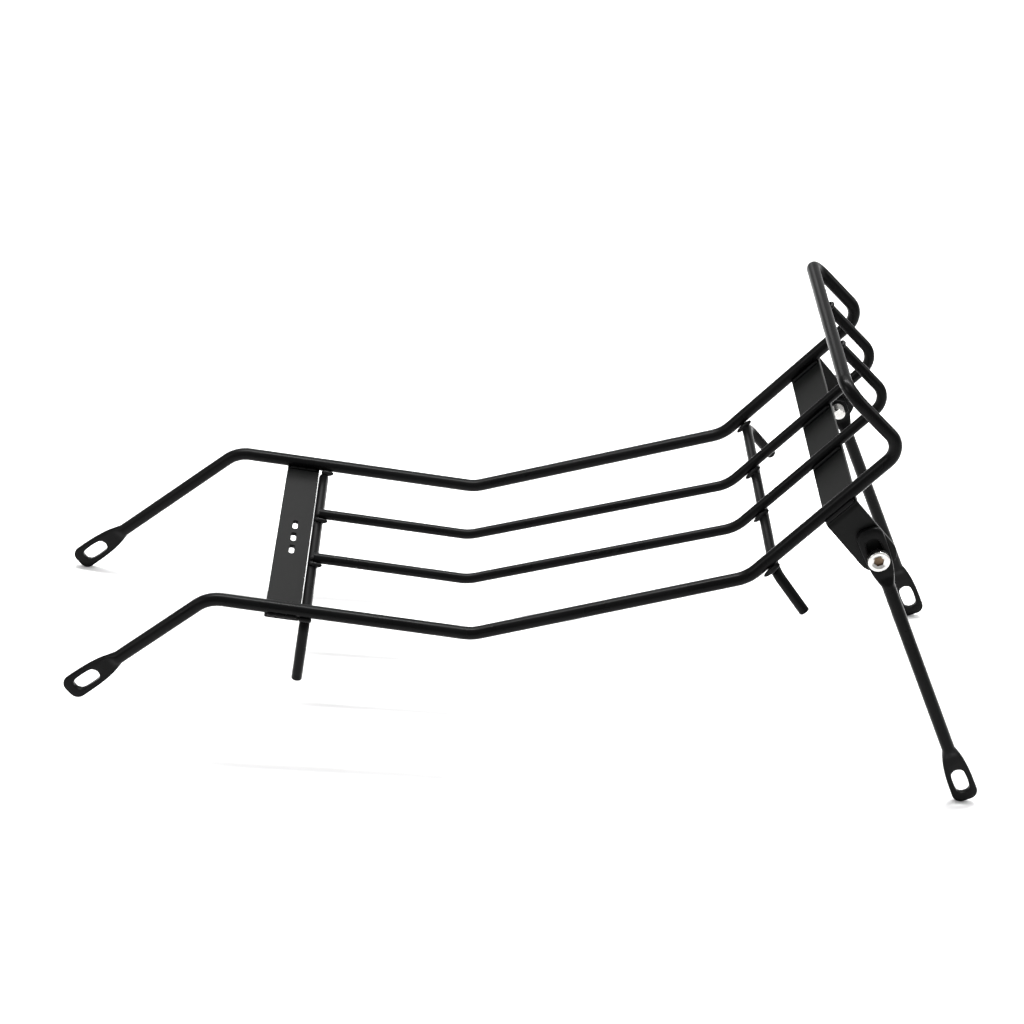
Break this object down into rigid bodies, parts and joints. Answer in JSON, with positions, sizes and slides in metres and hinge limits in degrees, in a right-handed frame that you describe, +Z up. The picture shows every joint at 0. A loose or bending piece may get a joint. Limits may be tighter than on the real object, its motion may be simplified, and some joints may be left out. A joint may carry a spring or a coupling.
{
  "type": "luggage carrier",
  "caption": "Bent steel rod luggage carrier with a curved deck, a rear hook, slotted front arms and two hinged slotted struts.",
  "frame": {"origin": "middle of the footprint, on the surface that the carrier stands on", "axes": "+X from the front arms to the rear hook, +Y to the carrier's right side, +Z up"},
  "size_m": [0.7212, 0.2786, 0.3322],
  "materials": {
    "black_powder_coat": "satin black powder coat",
    "bolt_steel": "bright zinc plated steel"
  },
  "bodies": {
    "rack": {"outer_rod": "black_powder_coat", "left_inner_rod": "black_powder_coat", "right_inner_rod": "black_powder_coat", "front_plate": "black_powder_coat", "front_cross_rod": "black_powder_coat", "mid_cross_rod": "black_powder_coat", "rear_strap": "black_powder_coat", "left_weld_nut": "black_powder_coat", "right_weld_nut": "black_powder_coat", "front_plate_welds": "black_powder_coat", "front_rod_welds": "black_powder_coat", "mid_rod_welds": "black_powder_coat", "rear_strap_welds": "black_powder_coat", "top_bar_welds": "black_powder_coat", "weld_nut_welds": "black_powder_coat"},
    "left_bolt": {"left_pivot_bolt": "bolt_steel"},
    "right_bolt": {"right_pivot_bolt": "bolt_steel"},
    "left_strut": {"left_strut": "black_powder_coat"},
    "right_strut": {"right_strut": "black_powder_coat"}
  },
  "joints": [
    {"name": "left_strut_swing", "type": "hinge", "parent": "rack", "child": "left_bolt", "pos_m": [0.25373, -0.122, 0.20184], "axis": [0, 1, 0], "range_deg": [-100, 50]},
    {"name": "left_strut_slide", "type": "slide", "parent": "left_bolt", "child": "left_strut", "axis": [0.449, 0, -0.8935], "range_m": [0, 0.0114]},
    {"name": "right_strut_swing", "type": "hinge", "parent": "rack", "child": "right_bolt", "pos_m": [0.25373, 0.122, 0.20184], "axis": [0, 1, 0], "range_deg": [-100, 50]},
    {"name": "right_strut_slide", "type": "slide", "parent": "right_bolt", "child": "right_strut", "axis": [0.449, 0, -0.8935], "range_m": [0, 0.0114]}
  ]
}
